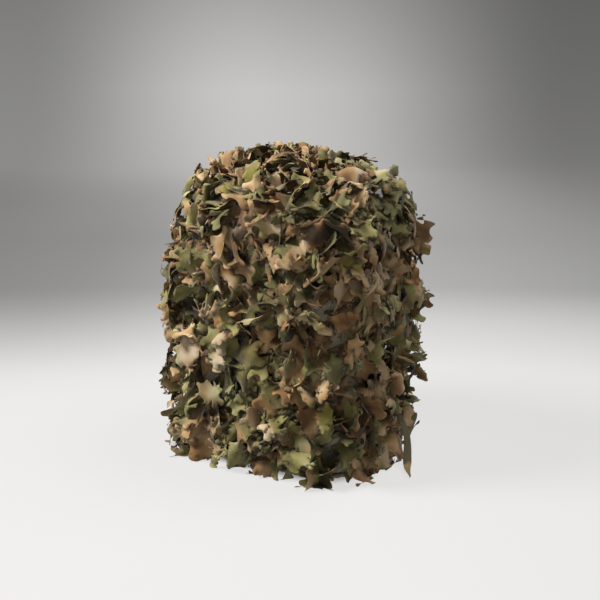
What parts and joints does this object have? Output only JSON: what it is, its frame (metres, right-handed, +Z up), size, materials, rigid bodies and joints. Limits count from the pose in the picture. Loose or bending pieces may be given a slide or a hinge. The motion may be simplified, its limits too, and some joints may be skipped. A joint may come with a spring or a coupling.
{
  "type": "leaf ghillie cover on rucksack",
  "caption": "Camouflage net cover with rows of cut cloth leaves, drawn down over a filled upright rucksack whose harness shows at the open back.",
  "frame": {"origin": "on the ground, under the middle of the whole object", "axes": "+Z up, -Y out of the leafy front, +Y towards the harness side, +X to the right as seen from the front"},
  "size_m": [0.5734, 0.42, 0.64],
  "materials": {
    "net_cloth": "printed open net, camouflage",
    "leaf_cloth": "printed laser-cut leaf cloth, matte",
    "tape_cloth": "woven polyester tape, matte",
    "elastic_cord": "braided sheath over rubber",
    "lock_plastic": "moulded, fine grain",
    "spring_steel": "bright wire",
    "pack_cloth": "coated plain-weave nylon with a rip-stop grid",
    "base_cloth": "heavy basket-weave nylon",
    "liner_cloth": "thin coated liner",
    "zip_coil": "nylon coil",
    "zip_metal": "matte painted",
    "webbing": "woven nylon webbing",
    "buckle_plastic": "moulded acetal",
    "frame_plastic": "smooth sheet",
    "frame_alloy": "satin",
    "pad_cloth": "spacer mesh over foam"
  },
  "bodies": {
    "rucksack": {"main_bag": "pack_cloth", "lid_pocket": "pack_cloth", "front_pocket": "pack_cloth", "side_pocket_right": "pack_cloth", "side_pocket_left": "pack_cloth", "base_panel": "base_cloth", "packed_load": "liner_cloth", "pocket_zip": "zip_coil", "compression_straps": "webbing", "lower_straps": "webbing", "sternum_straps": "webbing", "strap_buckles": "buckle_plastic", "strap_adjusters": "buckle_plastic", "sternum_buckle": "buckle_plastic", "frame_sheet": "frame_plastic", "frame_stays": "frame_alloy", "back_panel": "pad_cloth", "back_pads": "pad_cloth", "lumbar_pad": "pad_cloth", "shoulder_strap_right": "pad_cloth", "shoulder_strap_left": "pad_cloth"},
    "leaf_cover": {"cover_net_top": "net_cloth", "cover_net_front": "net_cloth", "cover_net_right": "net_cloth", "cover_net_left": "net_cloth", "leaf_row_1": "leaf_cloth", "leaf_row_2": "leaf_cloth", "leaf_row_3": "leaf_cloth", "leaf_row_4": "leaf_cloth", "leaf_row_5": "leaf_cloth", "leaf_row_6": "leaf_cloth", "leaf_row_7": "leaf_cloth", "leaf_row_8": "leaf_cloth", "leaf_row_9": "leaf_cloth", "leaf_row_10": "leaf_cloth", "leaf_shoulder_low": "leaf_cloth", "leaf_shoulder_high": "leaf_cloth", "leaf_crown_outer": "leaf_cloth", "leaf_crown_inner": "leaf_cloth", "leaf_crown_tuft": "leaf_cloth", "carrier_tapes": "tape_cloth", "tie_tape": "tape_cloth", "cover_back_binding": "tape_cloth", "cover_hem_channel": "tape_cloth", "hem_elastic": "elastic_cord", "hem_cord_tail": "elastic_cord", "hem_cord_knot": "elastic_cord", "cord_lock_body": "lock_plastic", "cord_lock_spring": "spring_steel"},
    "lock_plunger": {"cord_lock_plunger": "lock_plastic"},
    "pocket_slider": {"zip_slider": "zip_metal"},
    "hand_loop": {"haul_loop": "webbing"},
    "right_wing": {"hip_wing_right": "pad_cloth", "hip_webbing_right": "webbing", "hip_buckle_socket": "buckle_plastic"},
    "left_wing": {"hip_wing_left": "pad_cloth", "hip_webbing_left": "webbing", "hip_buckle_plug": "buckle_plastic"}
  },
  "joints": [
    {"name": "cover_lift", "type": "slide", "parent": "rucksack", "child": "leaf_cover", "axis": [0, 0, 1], "range_m": [0, 0.65]},
    {"name": "lock_press", "type": "slide", "parent": "leaf_cover", "child": "lock_plunger", "axis": [0, 0, -1], "range_m": [0, 0.004], "stiffness_N_per_m": 500, "springref_m": -0.003, "deforming": ["cord_lock_spring"]},
    {"name": "pocket_zip_slide", "type": "slide", "parent": "rucksack", "child": "pocket_slider", "axis": [1, 0, 0], "range_m": [0, 0.188]},
    {"name": "hand_loop_swing", "type": "hinge", "parent": "rucksack", "child": "hand_loop", "pos_m": [0, 0.1145, 0.54], "axis": [1, 0, 0], "range_deg": [0, 95]},
    {"name": "right_wing_fold", "type": "hinge", "parent": "rucksack", "child": "right_wing", "pos_m": [0.15, 0.13, 0.11], "axis": [0, 0, -1], "range_deg": [0, 90]},
    {"name": "left_wing_fold", "type": "hinge", "parent": "rucksack", "child": "left_wing", "pos_m": [-0.15, 0.13, 0.11], "axis": [0, 0, 1], "range_deg": [0, 90]}
  ]
}
